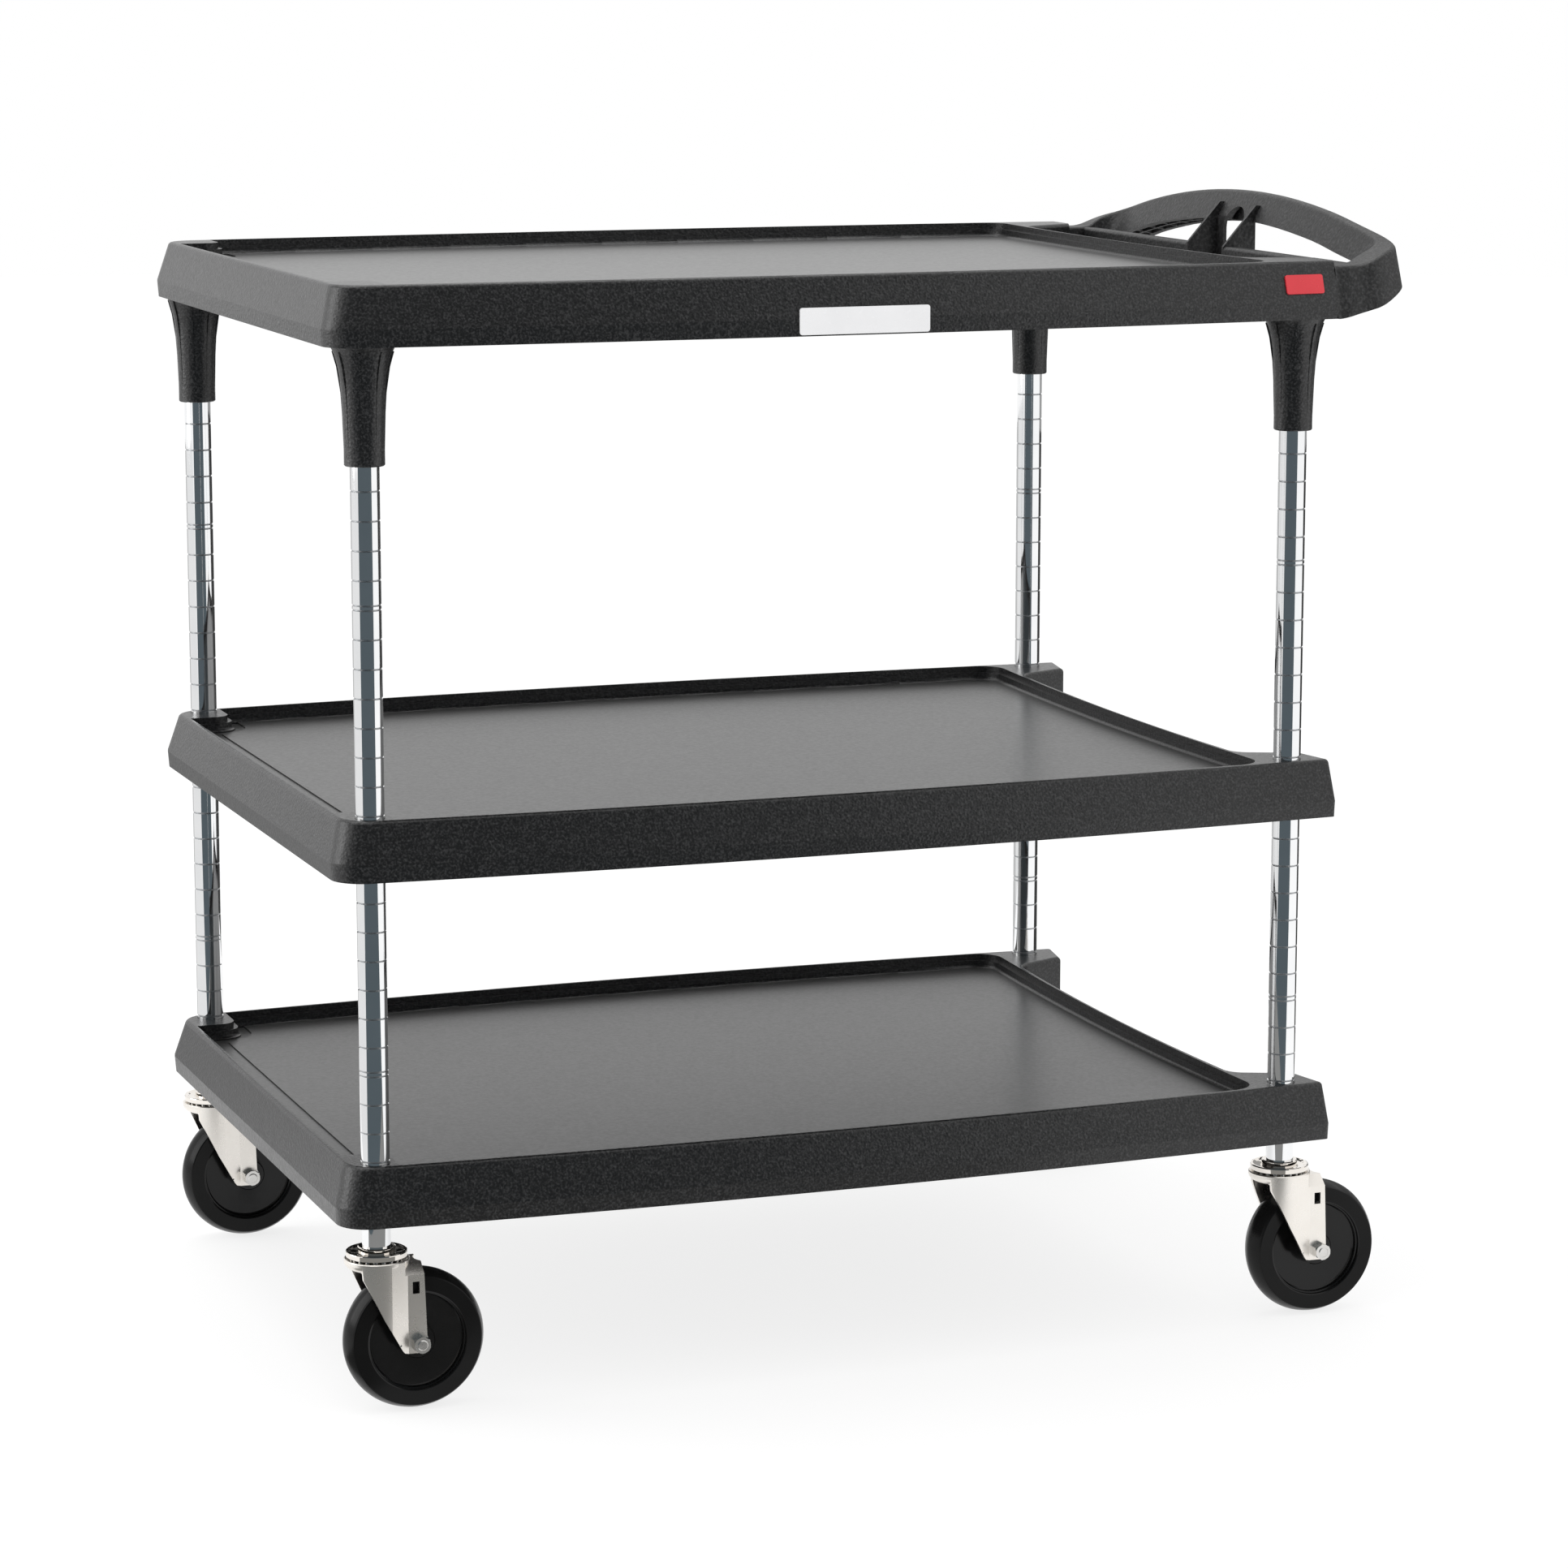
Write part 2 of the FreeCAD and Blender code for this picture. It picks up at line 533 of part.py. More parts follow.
def handle_braces():
    """Cross rails, the two gussets and the wall between them; and the slot through that wall."""
    rail_low = RAIL_TOP - RAIL_H
    pieces = []
    for s in (-1, 1):
        y0, y1 = sorted((s * (GUSSET_Y - GUSSET_T / 2), s * (OPEN_Y + 1.0)))
        bar = box(RAIL_X, RAIL_X + RAIL_T, y0, y1, rail_low, RAIL_TOP)
        bar = fillet_where(bar, 3.0, lambda e: span(e)[1] > 100 and e.BoundBox.ZMin > RAIL_TOP - 1)
        y2, y3 = sorted((s * (GUSSET_Y + 6), s * (OPEN_Y - 4)))
        bar = bar.cut(box(RAIL_X + 3.5, RAIL_X + RAIL_T - 3.5, y2, y3, rail_low - 1, RAIL_TOP - 4))
        pieces.append(bar)
        outline_xz = [(RAIL_X, rail_low), (RAIL_X, RAIL_TOP), (GRIP_X_IN + 3.0, GRIP_TOP - 12.0),
                      (GRIP_X_IN + 9.0, GRIP_TOP - 12.0), (GRIP_X_IN + 2.5, GRIP_LOW_IN), (GRIP_X_IN + 2.5, rail_low)]
        pieces.append(slab_xz(outline_xz, s * GUSSET_Y - GUSSET_T / 2, s * GUSSET_Y + GUSSET_T / 2))
    pieces.append(box(GRIP_X_IN, GRIP_X_IN + HANDLE_WALL, -GUSSET_Y, GUSSET_Y, rail_low, GRIP_LOW_IN + 2))
    pieces.append(box(RAIL_X, GRIP_X_IN + HANDLE_WALL, -GUSSET_Y, GUSSET_Y, rail_low, rail_low + 3.5))
    spring = GRIP_TOP - 15.0 - SLOT_HALF
    slot = box(GRIP_X_IN - 5, GRIP_X_IN + 12, -SLOT_HALF, SLOT_HALF, rail_low + 5, spring)
    slot = slot.fuse(Part.makeCylinder(SLOT_HALF, 17, V(GRIP_X_IN - 5, 0, spring), V(1, 0, 0)))
    return pieces, slot


handle = push_handle()
brace_list, finger_slot = handle_braces()
handle = handle.fuse(brace_list).cut(finger_slot)
screw_spots = [(s * y, TOP_TOP + z) for s in (-1, 1) for y, z in ((299.0, -30.0), (318.0, -30.0))]
for y, z in screw_spots:
    handle = handle.cut(Part.makeCylinder(2.75, 12, V(SEAM_X - 1, y, z), V(1, 0, 0)))
handle = handle.translated(V(SHELF_MID_X, 0, 0))
save("push_handle", handle)
screws = []
for y, z in screw_spots:
    x = SHELF_MID_X + SEAM_X
    screws.append(Part.makeCylinder(2.7, 10.5, V(x, y, z), V(1, 0, 0)))
save("handle_screws", Part.makeCompound(screws))


# ==================================================================================================
# blank label holder and badge on both long rims of the top shelf
# ==================================================================================================
def rim_plate(x_mid, z_mid, width, height, offset, lean, corner):
    """Thin plate with round corners on the outside of the near long rim, leaning back with it."""
    thick = 1.6
    plate = box(x_mid - width / 2, x_mid + width / 2, -thick, 0, z_mid - height / 2, z_mid + height / 2)
    plate = fillet_where(plate, corner, lambda e: span(e)[1] > thick * 0.9)
    plate.rotate(V(x_mid, 0, z_mid), V(1, 0, 0), -lean)
    plate.rotate(V(x_mid, 0, z_mid), Z_AXIS, math.degrees(math.asin(x_mid / SIDE_R)))
    return plate.translated(V(SHELF_MID_X, -side_y(x_mid, offset), TOP_TOP))


BADGE_Z = -20.5
draft = SIDE_FLARE / (TRAY_H - BAND_H)
save("label_plate", rim_plate(1.6, -38.9, 120.7, 23.4, SIDE_FLARE, 0.0, 2.5))
save("badge", rim_plate(432.5, BADGE_Z, 38.3, 17.6, -BADGE_Z * draft, math.degrees(math.atan(draft)), 2.0))


# ==================================================================================================
# casters
# ==================================================================================================
def caster_cup(x, y):
    """Fixed upper raceway, dished on top, with its collar round the post foot."""
    lip = [(26.4, 0.0), (27.0, 0.6), (27.0, 4.4), (26.7, 5.1), (26.0, 5.4), (24.6, 5.4), (23.6, 4.8), (22.4, 3.8),
           (17.6, 3.0), (16.6, 3.6)]
    profile = [(KING_R + FIT, CUP_LOW)] + [(r, CUP_LOW + h) for r, h in lip]
    profile += [(16.6, POST_BOTTOM + 2.4), (15.8, POST_BOTTOM + 3.2), (POST_R, POST_BOTTOM + 3.2),
                (POST_R, POST_BOTTOM), (KING_R + FIT, POST_BOTTOM)]
    groove = Part.makeTorus(BALL_RING_R, BALL_R + 0.15, V(x, y, CUP_LOW + 1.2 - BALL_R), Z_AXIS)
    return turned(profile, x, y).cut(groove)


def caster_stem(x, y):
    """Stem up inside the post and king pin down through the fork crown, with its riveted head."""
    inner = POST_R - POST_WALL - 0.02
    profile = [(0, CROWN_TOP - 14.0), (KING_R + 3.0, CROWN_TOP - 14.0), (KING_R + 3.0, CROWN_TOP - 10.6),
               (KING_R, CROWN_TOP - 10.6), (KING_R, POST_BOTTOM), (inner, POST_BOTTOM + 0.02), (inner, POST_BOTTOM + 60),
               (inner - 2.0, POST_BOTTOM + 64), (0, POST_BOTTOM + 64)]
    return turned(profile, x, y)


def caster_balls(x, y):
    z = CROWN_TOP - 1.0 + BALL_R * 0.5
    balls = []
    for i in range(BALL_COUNT):
        a = 2 * math.pi * i / BALL_COUNT
        balls.append(Part.makeSphere(BALL_R, V(x + BALL_RING_R * math.cos(a), y + BALL_RING_R * math.sin(a), z)))
    return Part.makeCompound(balls)


def leg_plan(inset):
    """Plan of both legs behind their round fronts, pulled inwards by inset."""
    y_front = math.sqrt((CROWN_R - inset) ** 2 - (PANEL_X0 - 0.3 * inset) ** 2)
    half = [(PANEL_X0 - 0.3 * inset, y_front), (PANEL_X1 - 0.15 * inset, LEG_OUT_Y - inset), (60.0, LEG_OUT_Y - inset)]
    return [(x, -y) for x, y in half] + [(x, y) for x, y in reversed(half)]


def fork_block(inset, low, top):
    front = cyl(CROWN_R - inset, low, top).common(box(-40, PANEL_X0 + 1.0, -40, 40, low, top))
    return front.fuse(prism(leg_plan(inset), low, top))


def above_roof(lower):
    """Space above the sloping roof that joins the legs behind the crown."""
    y0, y1 = LEG_OUT_Y - lower, 12.5 - 0.35 * lower
    low, top = ROOF_LOW - lower, ROOF_TOP - lower
    pts = [(-60, 200), (-60, low), (-y0, low), (-y1, top), (y1, top), (y0, low), (60, low), (60, 200)]
    wire = Part.makePolygon([V(19.0, y, z) for y, z in pts + pts[:1]])
    return Part.Face(wire).extrude(V(60, 0, 0))


def caster_fork(x, y):
    """Pressed fork: a raceway crown running down into two trailing legs joined by a roof."""
    crown = turned([(KING_R + FIT, CROWN_TOP), (CROWN_R - 0.8, CROWN_TOP), (CROWN_R, CROWN_TOP - 0.8),
                    (CROWN_R, CROWN_TOP - 3.4), (CROWN_R - 0.8, CROWN_TOP - 5.6), (CROWN_R - 2.6, CROWN_TOP - 7.6),
                    (CROWN_R - 5.4, CROWN_TOP - 9.0), (KING_R + 6.0, CROWN_TOP - 9.0), (KING_R + 4.0, CROWN_TOP - 10.2),
                    (KING_R + FIT, CROWN_TOP - 10.2)])
    side = [(-19.0, CROWN_TOP - 0.8), (-17.9, 123.8), (-1.0, 88.0), (15.6, 58.4), (17.8, 55.8), (21.6, 54.8),
            (34.0, 54.6), (37.2, 56.0), (38.8, 60.0), (36.4, ROOF_LOW), (36.4, CROWN_TOP - 0.8)]
    hollow = fork_block(SHEET, 20, CROWN_TOP - 9.0).cut(above_roof(SHEET))
    legs = fork_block(0.0, 30, CROWN_TOP - 0.8).cut(above_roof(0.0)).cut(hollow)
    legs = legs.common(slab_xz(side, -40, 40)).cut(cyl(17.0, 120, 140, 50.0, 0.0))
    fork = crown.fuse(legs).cut(cyl(KING_R + FIT, 100, 150))
    fork = fork.cut(Part.makeTorus(BALL_RING_R, BALL_R + 0.15, V(0, 0, CROWN_TOP - 1.0 + BALL_R * 0.5), Z_AXIS))
    fork = fork.cut(Part.makeCylinder(AXLE_R + 0.02, 80, V(TRAIL, -40, WHEEL_R), V(0, 1, 0)))
    fork = fork.cut(box(25.8, 32.0, -40, 40, 108.4, 119.2))
    for s in (-1, 1):
        fork = fork.cut(Part.makeSphere(2.2, V(13.7, s * (LEG_OUT_Y + 4.0), WHEEL_R)))
    return fork.removeSplitter().translated(V(x, y, 0))


def axle_bolt(x, y):
    xa = x + TRAIL
    yb = y + LEG_OUT_Y
    ya = y - LEG_OUT_Y - NUT_H
    shank = Part.makeCylinder(AXLE_R, 2 * LEG_OUT_Y + NUT_H, V(xa, ya, WHEEL_R), V(0, 1, 0))
    tip = Part.makeCone(AXLE_R - 0.8, AXLE_R, 0.7, V(xa, ya - 0.7, WHEEL_R), V(0, 1, 0))
    head = hexagon(NUT_AF, 6.0, xa, yb, WHEEL_R)
    return shank.fuse([tip, head])


def hexagon(across, depth, x, y, z):
    r = across / math.sqrt(3)
    pts = [(x + r * math.sin(math.radians(60 * i)), z + r * math.cos(math.radians(60 * i))) for i in range(6)]
    solid = slab_xz(pts, y, y + depth)
    rim = Part.makeCone(r + 0.2, r - 0.9, depth, V(x, y, z), V(0, 1, 0))
    return solid.common(rim.fuse(Part.makeCylinder(r + 0.2, depth * 0.75, V(x, y, z), V(0, 1, 0))))


def axle_nut(x, y):
    y0 = y - LEG_OUT_Y
    nut = hexagon(NUT_AF, NUT_H, x + TRAIL, 0, WHEEL_R)
    nut.rotate(V(x + TRAIL, 0, WHEEL_R), Z_AXIS, 180)
    nut = nut.translated(V(0, y0, 0))
    return nut.cut(Part.makeCylinder(AXLE_R + 0.02, 40, V(x + TRAIL, y0 - 20, WHEEL_R), V(0, 1, 0)))


def wheel_pieces(x, y):
    """Tread, hub with dished sides, and the turning bushing on the axle."""
    h = WHEEL_W / 2
    crown = [(57.2, h - 0.2), (58.2, h - 0.6), (59.2, 13.8), (60.3, 11.6), (61.4, 9.1), (62.3, 6.6), (63.0, 4.0),
             (63.4, 1.8)]
    crown = crown + [(WHEEL_R, 0)] + [(r, -v) for r, v in reversed(crown)]
    tread = turned_y([(TREAD_IN_R, h - 0.2)] + crown + [(TREAD_IN_R, -h + 0.2)], 0, 0)
    bush_r = 9.0
    face = [(bush_r, 1.0), (14.4, 1.0), (15.4, 0.0), (16.2, -11.0), (41.2, -8.4), (42.2, -7.4), (42.7, -3.5),
            (43.7, -3.2), (44.3, -0.6), (TREAD_IN_R, -0.2)]
    core = turned_y([(r, -h - d) for r, d in face] + [(r, h + d) for r, d in reversed(face)], 0, 0)
    bushing = turned_y([(AXLE_R + FIT, -h - 3.0), (bush_r, -h - 3.0), (bush_r, h + 3.0), (AXLE_R + FIT, h + 3.0)], 0, 0)
    move = V(x + TRAIL, y, WHEEL_R)
    return tread.translated(move), core.translated(move), bushing.translated(move)


for name in CORNERS:
    x, y = corner_xy(name)
    save("caster_cup_" + name, caster_cup(x, y))
    save("caster_stem_" + name, caster_stem(x, y))
    save("caster_balls_" + name, caster_balls(x, y))
    save("caster_fork_" + name, caster_fork(x, y))
    save("axle_bolt_" + name, axle_bolt(x, y))
    save("axle_nut_" + name, axle_nut(x, y))
    tread, core, bushing = wheel_pieces(x, y)
    save("wheel_tread_" + name, tread)
    save("wheel_core_" + name, core)
    save("wheel_bushing_" + name, bushing)
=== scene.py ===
import bpy
import math
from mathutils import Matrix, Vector


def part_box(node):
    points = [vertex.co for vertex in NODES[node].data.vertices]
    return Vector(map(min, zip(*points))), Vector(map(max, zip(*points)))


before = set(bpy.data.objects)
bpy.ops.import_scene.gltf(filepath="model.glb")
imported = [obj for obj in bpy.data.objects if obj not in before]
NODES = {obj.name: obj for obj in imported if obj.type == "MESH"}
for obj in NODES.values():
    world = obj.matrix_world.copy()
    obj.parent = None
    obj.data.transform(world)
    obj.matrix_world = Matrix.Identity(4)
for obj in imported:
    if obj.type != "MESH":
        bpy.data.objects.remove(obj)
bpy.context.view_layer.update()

CORNERS = ("fl", "fr", "hl", "hr")

# where the groove bottoms and the decks lie, in metres
GROOVE_BOTTOM_R = 0.0121  # just outside the bottom of a post's grooves
DECK_DEPTH = 0.0141       # mean depth of a deck and its border strip below the rim
DECK_BAND = 0.0016        # half the height range that counts as deck

# base tone of each deck: greyer than the rims as a painted sheen, and the top deck's set lighter than the
# lower decks' as painted light
DECK_TONE_AND_PAINTED_LIGHT = {"bottom_shelf": 0.026, "middle_shelf": 0.026, "top_shelf": 0.050}

# the camera that gives the usual three-quarter view
CAMERA_PLACE = (-1.54127, -4.23340, 1.27431)
CAMERA_TILT_DOWN = 0.175006
CAMERA_HEADING = -0.352710
CAMERA_LENS = 110.32
CAMERA_SENSOR = 36.0


# ------------------------------------------------------------------------------------------------
# node helpers
# ------------------------------------------------------------------------------------------------
class Mat:
    """A material under construction: one Principled shader and helpers to feed it."""

    def __init__(self, name):
        self.mat = bpy.data.materials.new(name)
        self.mat.use_nodes = True
        self.tree = self.mat.node_tree
        self.shader = self.tree.nodes["Principled BSDF"]
        self.pos = self.add("ShaderNodeTexCoord").outputs["Object"]

    def add(self, kind, **settings):
        node = self.tree.nodes.new(kind)
        for key, value in settings.items():
            setattr(node, key, value)
        return node

    def link(self, a, b):
        self.tree.links.new(a, b)

    def set(self, **values):
        """Constants on the shader's own sockets."""
        for key, value in values.items():
            self.shader.inputs[key.replace("_", " ")].default_value = value

    def out(self, **sources):
        """Links to the shader's sockets; gives back the finished material."""
        for key, source in sources.items():
            self.link(source, self.shader.inputs[key.replace("_", " ")])
        return self.mat

    def noise(self, scale, detail=2.0, rough=0.5):
        node = self.add("ShaderNodeTexNoise")
        node.inputs["Scale"].default_value = scale
        node.inputs["Detail"].default_value = detail
        node.inputs["Roughness"].default_value = rough
        self.link(self.pos, node.inputs["Vector"])
        return node.outputs["Fac"]

    def pebbles(self, scale):
        node = self.add("ShaderNodeTexVoronoi", feature="SMOOTH_F1")
        node.inputs["Scale"].default_value = scale
        self.link(self.pos, node.inputs["Vector"])
        return node.outputs["Distance"]

    def span(self, fac, low, high, at0=0.0, at1=1.0):
        """fac between at0 and at1, spread over low to high."""
        node = self.add("ShaderNodeMapRange")
        node.inputs["From Min"].default_value = at0
        node.inputs["From Max"].default_value = at1
        node.inputs["To Min"].default_value = low
        node.inputs["To Max"].default_value = high
        self.link(fac, node.inputs["Value"])
        return node.outputs["Result"]

    def math(self, operation, a, b):
        node = self.add("ShaderNodeMath", operation=operation)
        for slot, value in ((0, a), (1, b)):
            if isinstance(value, float):
                node.inputs[slot].default_value = value
            else:
                self.link(value, node.inputs[slot])
        return node.outputs["Value"]

    def mix(self, fac, a, b):
        node = self.add("ShaderNodeMix", data_type="RGBA")
        self.link(fac, node.inputs["Factor"])
        for slot, value in (("A", a), ("B", b)):
            socket = [s for s in node.inputs if s.name == slot and s.type == "RGBA"][0]
            if isinstance(value, tuple):
                socket.default_value = (*value, 1.0)
            else:
                self.link(value, socket)
        return [s for s in node.outputs if s.type == "RGBA"][0]

    def bump(self, height, strength, distance):
        node = self.add("ShaderNodeBump")
        node.inputs["Strength"].default_value = strength
        node.inputs["Distance"].default_value = distance
        self.link(height, node.inputs["Height"])
        return node.outputs["Normal"]


# ------------------------------------------------------------------------------------------------
# materials
# ------------------------------------------------------------------------------------------------
def polymer(name, deck_level=None, deck_tone_and_painted_light=0.05, pebble=430.0, depth=0.00035, rough=(0.29, 0.37)):
    """Black moulded polymer with a leather grain, its speckled tone partly painted glints of the grain; a
    deck, given by its height, is smoother and painted greyer as a painted sheen.
    """
    m = Mat(name)
    pebbles = m.pebbles(pebble)
    creases = m.noise(pebble * 1.4, 3.0, 0.6)
    # speckled tone: partly the polymer's own tone, partly painted glints of the grain
    fleck_and_glint = m.span(m.noise(pebble * 1.2, 2.0), 0.0, 1.0, 0.45, 0.75)
    tone = m.mix(fleck_and_glint, (0.0070, 0.0070, 0.0072), (0.040, 0.040, 0.041))
    grain = m.math("ADD", m.math("MULTIPLY", pebbles, 0.8), m.math("MULTIPLY", creases, 0.5))
    wear = m.noise(260.0, 4.0, 0.6)
    dull = m.span(wear, *rough, 0.35, 0.75)
    bump = m.bump(grain, 0.85, depth)
    if deck_level is None:
        return m.out(Base_Color=tone, Roughness=dull, Normal=bump)
    deck = deck_mask(m, deck_level)
    # deck tone: a painted sheen on every deck, and painted light where the top deck is lighter than the lower
    # ones
    deck_tone_and_painted_sheen = m.mix(m.span(wear, 0.0, 1.0, 0.3, 0.7), (deck_tone_and_painted_light,) * 3, (deck_tone_and_painted_light * 1.24,) * 3)
    m.link(m.span(deck, 0.85, 0.12), bump.node.inputs["Strength"])
    return m.out(Base_Color=m.mix(deck, tone, deck_tone_and_painted_sheen), Roughness=dull, Normal=bump)


def deck_mask(m, level):
    """1 on upward faces at the deck's height, 0 elsewhere."""
    place, normal = m.add("ShaderNodeSeparateXYZ"), m.add("ShaderNodeSeparateXYZ")
    m.link(m.pos, place.inputs["Vector"])
    m.link(m.add("ShaderNodeNewGeometry").outputs["Normal"], normal.inputs["Vector"])
    above = m.math("SUBTRACT", place.outputs["Z"], level)
    near = m.math("LESS_THAN", m.math("ABSOLUTE", above, 0.0), DECK_BAND)
    return m.math("MULTIPLY", near, m.math("GREATER_THAN", normal.outputs["Z"], 0.9))


def plated(name, low, high, rough_low, rough_high, ripple=90.0, ripple_depth=0.000002):
    """Plated metal with faint tone changes, handling marks and a slight ripple."""
    m = Mat(name)
    m.set(Metallic=1.0)
    tone = m.mix(m.span(m.noise(30.0, 3.0), 0.0, 1.0, 0.3, 0.7), low, high)
    rough = m.span(m.noise(90.0, 5.0, 0.65), rough_low, rough_high, 0.4, 0.75)
    waves = m.bump(m.noise(ripple, 3.0, 0.55), 0.3, ripple_depth)
    return m.out(Base_Color=tone, Roughness=rough, Normal=waves)


def chrome(name, x, y):
    """Bright chrome tube standing on the vertical axis at x, y, with groove bottoms painted grey as painted
    shade and made rougher.
    """
    m = Mat(name)
    m.set(Metallic=1.0)
    flat = m.add("ShaderNodeVectorMath", operation="MULTIPLY")
    flat.inputs[1].default_value = (1, 1, 0)
    m.link(m.pos, flat.inputs[0])
    reach = m.add("ShaderNodeVectorMath", operation="DISTANCE")
    reach.inputs[1].default_value = (x, y, 0)
    m.link(flat.outputs["Vector"], reach.inputs[0])
    groove_painted_shade = m.math("LESS_THAN", reach.outputs["Value"], GROOVE_BOTTOM_R)
    shine = m.mix(m.span(m.noise(30.0, 3.0), 0.0, 1.0, 0.3, 0.7), (0.86, 0.87, 0.88), (0.91, 0.915, 0.92))
    smear = m.span(m.noise(70.0, 5.0, 0.65), 0.02, 0.06, 0.4, 0.75)
    rough = m.math("ADD", smear, m.math("MULTIPLY", groove_painted_shade, 0.4))
    # groove bottoms painted grey: painted shade in the grooves
    return m.out(Base_Color=m.mix(groove_painted_shade, shine, (0.46, 0.47, 0.48)), Roughness=rough)


def smooth_plastic(name, low, high, rough_low, rough_high, fine=0.00003, specular=0.5):
    """Smooth moulding with faint tone and gloss changes."""
    m = Mat(name)
    m.set(Specular_IOR_Level=specular)
    tone = m.mix(m.span(m.noise(25.0, 3.0), 0.0, 1.0, 0.3, 0.7), low, high)
    rough = m.span(m.noise(140.0, 4.0, 0.6), rough_low, rough_high, 0.35, 0.75)
    return m.out(Base_Color=tone, Roughness=rough, Normal=m.bump(m.noise(1100.0, 2.0), 0.25, fine))


def middle(node_name):
    low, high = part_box(node_name)
    return (low + high) / 2


# the top deck gets a lighter base tone than the lower decks: painted light, the lower decks standing in shade
TRAYS = {n: polymer(n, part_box(n)[1].z - DECK_DEPTH, shade) for n, shade in DECK_TONE_AND_PAINTED_LIGHT.items()}
LEGS = polymer("leg_polymer")
GRIP = polymer("handle_polymer", pebble=330.0, depth=0.0006, rough=(0.46, 0.54))
SLEEVE = smooth_plastic("sleeve_polymer", (0.010, 0.010, 0.010), (0.014, 0.014, 0.014), 0.38, 0.48)
POSTS = {"post_" + c: chrome("chrome_post_" + c, *middle("post_" + c)[:2]) for c in CORNERS}
NICKEL = plated("caster_plate", (0.86, 0.82, 0.765), (0.885, 0.85, 0.80), 0.27, 0.31, 60.0, 0.000005)
RACE = plated("caster_race", (0.82, 0.78, 0.73), (0.87, 0.83, 0.78), 0.03, 0.07)
ZINC = plated("zinc_steel", (0.62, 0.61, 0.59), (0.74, 0.73, 0.71), 0.20, 0.34, 300.0, 0.00003)
STEEL = plated("ball_steel", (0.60, 0.60, 0.60), (0.72, 0.72, 0.72), 0.12, 0.24)
TURNED = plated("bushing_steel", (0.52, 0.52, 0.52), (0.66, 0.66, 0.66), 0.22, 0.38, 400.0, 0.00003)
TREAD = smooth_plastic("wheel_tread", (0.004, 0.004, 0.004), (0.006, 0.006, 0.006), 0.20, 0.27, 0.00001, 0.15)
CORE = smooth_plastic("wheel_core", (0.003, 0.003, 0.003), (0.005, 0.005, 0.005), 0.14, 0.20, 0.000005, 0.3)
LABEL = smooth_plastic("label_white", (0.82, 0.82, 0.83), (0.86, 0.86, 0.87), 0.22, 0.30)
BADGE = smooth_plastic("badge_red", (0.60, 0.028, 0.040), (0.66, 0.036, 0.050), 0.22, 0.30)

# by node name, or by node name without its corner
LOOKS = {
    **TRAYS, **POSTS, "push_handle": GRIP, "leg_socket": LEGS,
    "bottom_sleeves": SLEEVE, "middle_sleeves": SLEEVE, "top_sleeves": SLEEVE, "post_caps": SLEEVE,
    "handle_screws": ZINC, "label_plate": LABEL, "badge": BADGE, "caster_cup": RACE,
    "caster_fork": NICKEL, "caster_stem": ZINC, "caster_balls": STEEL, "axle_bolt": ZINC, "axle_nut": ZINC,
    "wheel_tread": TREAD, "wheel_core": CORE, "wheel_bushing": TURNED,
}
for node_name, node in NODES.items():
    family = node_name if node_name in LOOKS else node_name[:-len("_fl")]
    node.data.materials.clear()
    node.data.materials.append(LOOKS[family])


# ------------------------------------------------------------------------------------------------
# floor, lights, camera
# ------------------------------------------------------------------------------------------------
def mesh_object(name, verts, faces):
    mesh = bpy.data.meshes.new(name)
    mesh.from_pydata(verts, [], faces)
    thing = bpy.data.objects.new(name, mesh)
    bpy.context.scene.collection.objects.link(thing)
    return thing


def studio_floor(radius=14.0, sides=96, below=0.0005):
    """Round pale floor that glows a little, so the shadow on it stays faint."""
    turns = [2 * math.pi * i / sides for i in range(sides)]
    ring = [(radius * math.cos(t), radius * math.sin(t), -below) for t in turns]
    floor = mesh_object("studio_floor", ring, [list(range(sides))])
    m = Mat("studio_floor")
    m.set(Roughness=0.8, Emission_Strength=0.80, Emission_Color=(1, 1, 1, 1), Specular_IOR_Level=0.0)
    m.out(Base_Color=m.mix(m.span(m.noise(1.5, 2.0), 0.0, 1.0), (0.22, 0.22, 0.22), (0.24, 0.24, 0.24)))
    floor.data.materials.append(m.mat)


def studio_world():
    world = bpy.data.worlds.new("studio")
    bpy.context.scene.world = world
    world.use_nodes = True
    world.node_tree.nodes["Background"].inputs["Color"].default_value = (1, 1, 1, 1)
    world.node_tree.nodes["Background"].inputs["Strength"].default_value = 1.0


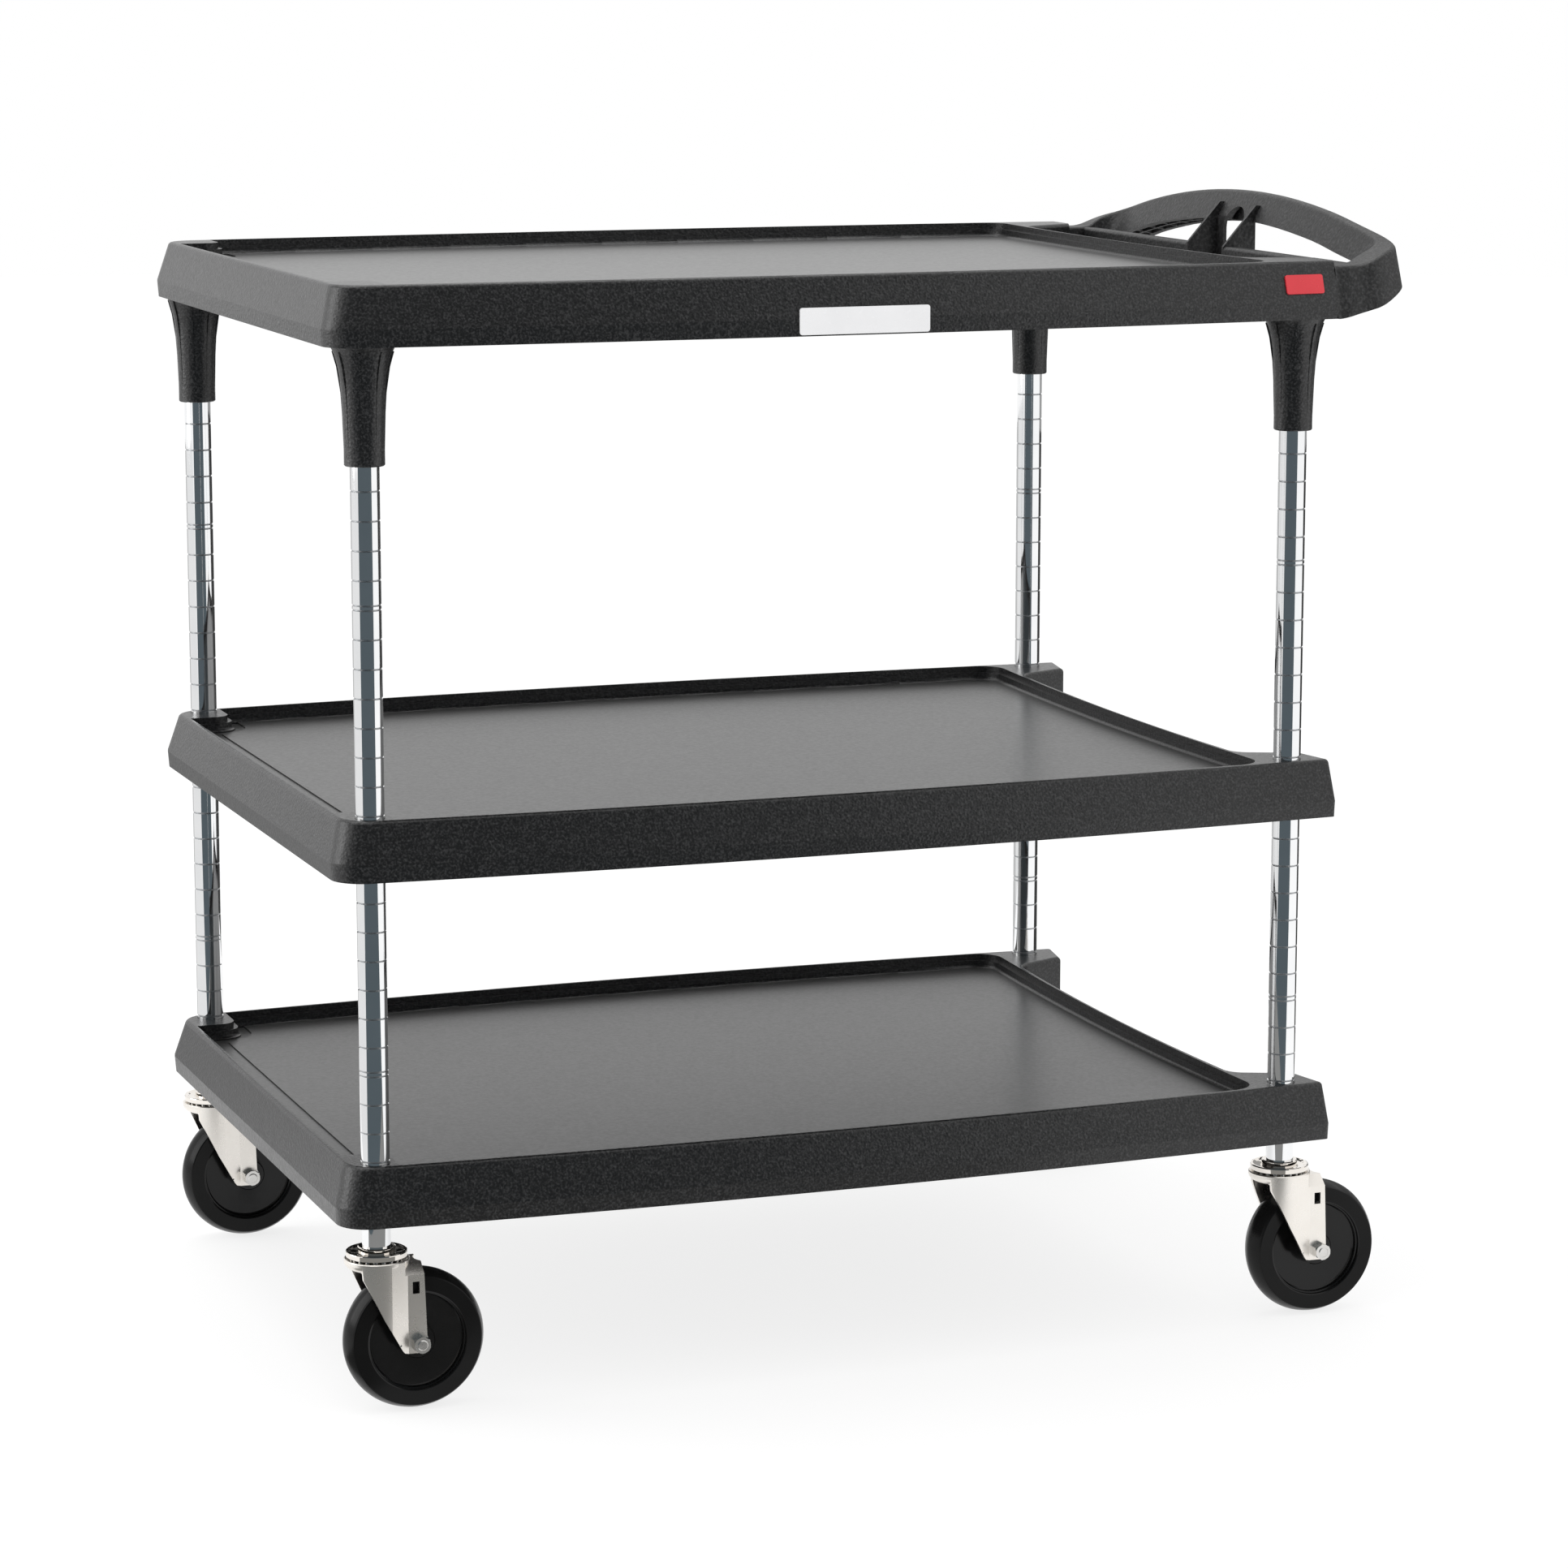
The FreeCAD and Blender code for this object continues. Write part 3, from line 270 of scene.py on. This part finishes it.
def card(name, shade, start, end, rings, steps=24):
    """Studio card seen only in reflections: a sheet swept between two headings round the cart, in
    degrees from +X, through (radius, height) rings."""
    verts, faces = [], []
    for i in range(steps + 1):
        a = math.radians(start + (end - start) * i / steps)
        verts += [(r * math.cos(a), r * math.sin(a), z) for r, z in rings]
    n = len(rings)
    for i in range(steps):
        for k in range(n - 1):
            faces.append((i * n + k, (i + 1) * n + k, (i + 1) * n + k + 1, i * n + k + 1))
    sheet = mesh_object(name, verts, faces)
    m = Mat(name)
    m.set(Roughness=0.9, Emission_Strength=1.0, Base_Color=(0, 0, 0, 1), Emission_Color=(*shade, 1),
          Specular_IOR_Level=0.0)
    sheet.data.materials.append(m.mat)
    sheet.visible_camera = False
    sheet.visible_diffuse = False
    sheet.visible_shadow = False
    sheet.visible_transmission = False


def softbox(name, place, target, size, power):
    data = bpy.data.lights.new(name, "AREA")
    data.shape = "RECTANGLE"
    data.size, data.size_y = size
    data.energy = power
    lamp = bpy.data.objects.new(name, data)
    bpy.context.scene.collection.objects.link(lamp)
    lamp.location = place
    lamp.rotation_euler = (Vector(target) - Vector(place)).to_track_quat("-Z", "Y").to_euler()


studio_floor()
studio_world()

# dark flags in front of the cart, for the bands in the chrome and the black of the near rims
card("near_flag", (0.25, 0.25, 0.245), 202.0, 294.0, [(0.6, 0.004), (1.15, 0.004)])
card("low_flag", (0.088, 0.110, 0.124), 202.0, 294.0, [(1.15, 0.004), (2.6, 0.004), (2.6, 1.1)])
card("high_flag", (0.095, 0.108, 0.118), 202.0, 292.0, [(2.6, 1.1), (2.6, 3.6)])

# cards behind it, which draw the edges of the posts against the pale floor
card("right_edge_card", (0.05, 0.05, 0.05), 0.0, 60.0, [(1.2, 0.006), (8.0, 0.006)])
card("right_wall_card", (0.35, 0.35, 0.35), 0.0, 58.0, [(8.0, 0.006), (8.0, 3.5)])
card("left_edge_card", (0.56, 0.56, 0.56), 80.0, 125.0, [(1.2, 0.006), (8.0, 0.006)])
card("left_card", (0.84, 0.84, 0.84), 125.0, 202.0, [(1.2, 0.006), (8.0, 0.006)])

softbox("top_light", (-0.3, 0.6, 3.4), (0, 0, 0.6), (3.2, 2.4), 40.0)
softbox("left_light", (-3.2, 0.9, 1.6), (0, 0, 0.5), (1.6, 2.4), 30.0)

camera_data = bpy.data.cameras.new("camera")
camera_data.lens = CAMERA_LENS
camera_data.sensor_width = CAMERA_SENSOR
camera = bpy.data.objects.new("camera", camera_data)
bpy.context.scene.collection.objects.link(camera)
camera.location = CAMERA_PLACE
camera.rotation_euler = (math.pi / 2 - CAMERA_TILT_DOWN, 0.0, CAMERA_HEADING)
bpy.context.scene.camera = camera
bpy.context.scene.view_settings.view_transform = "Standard"
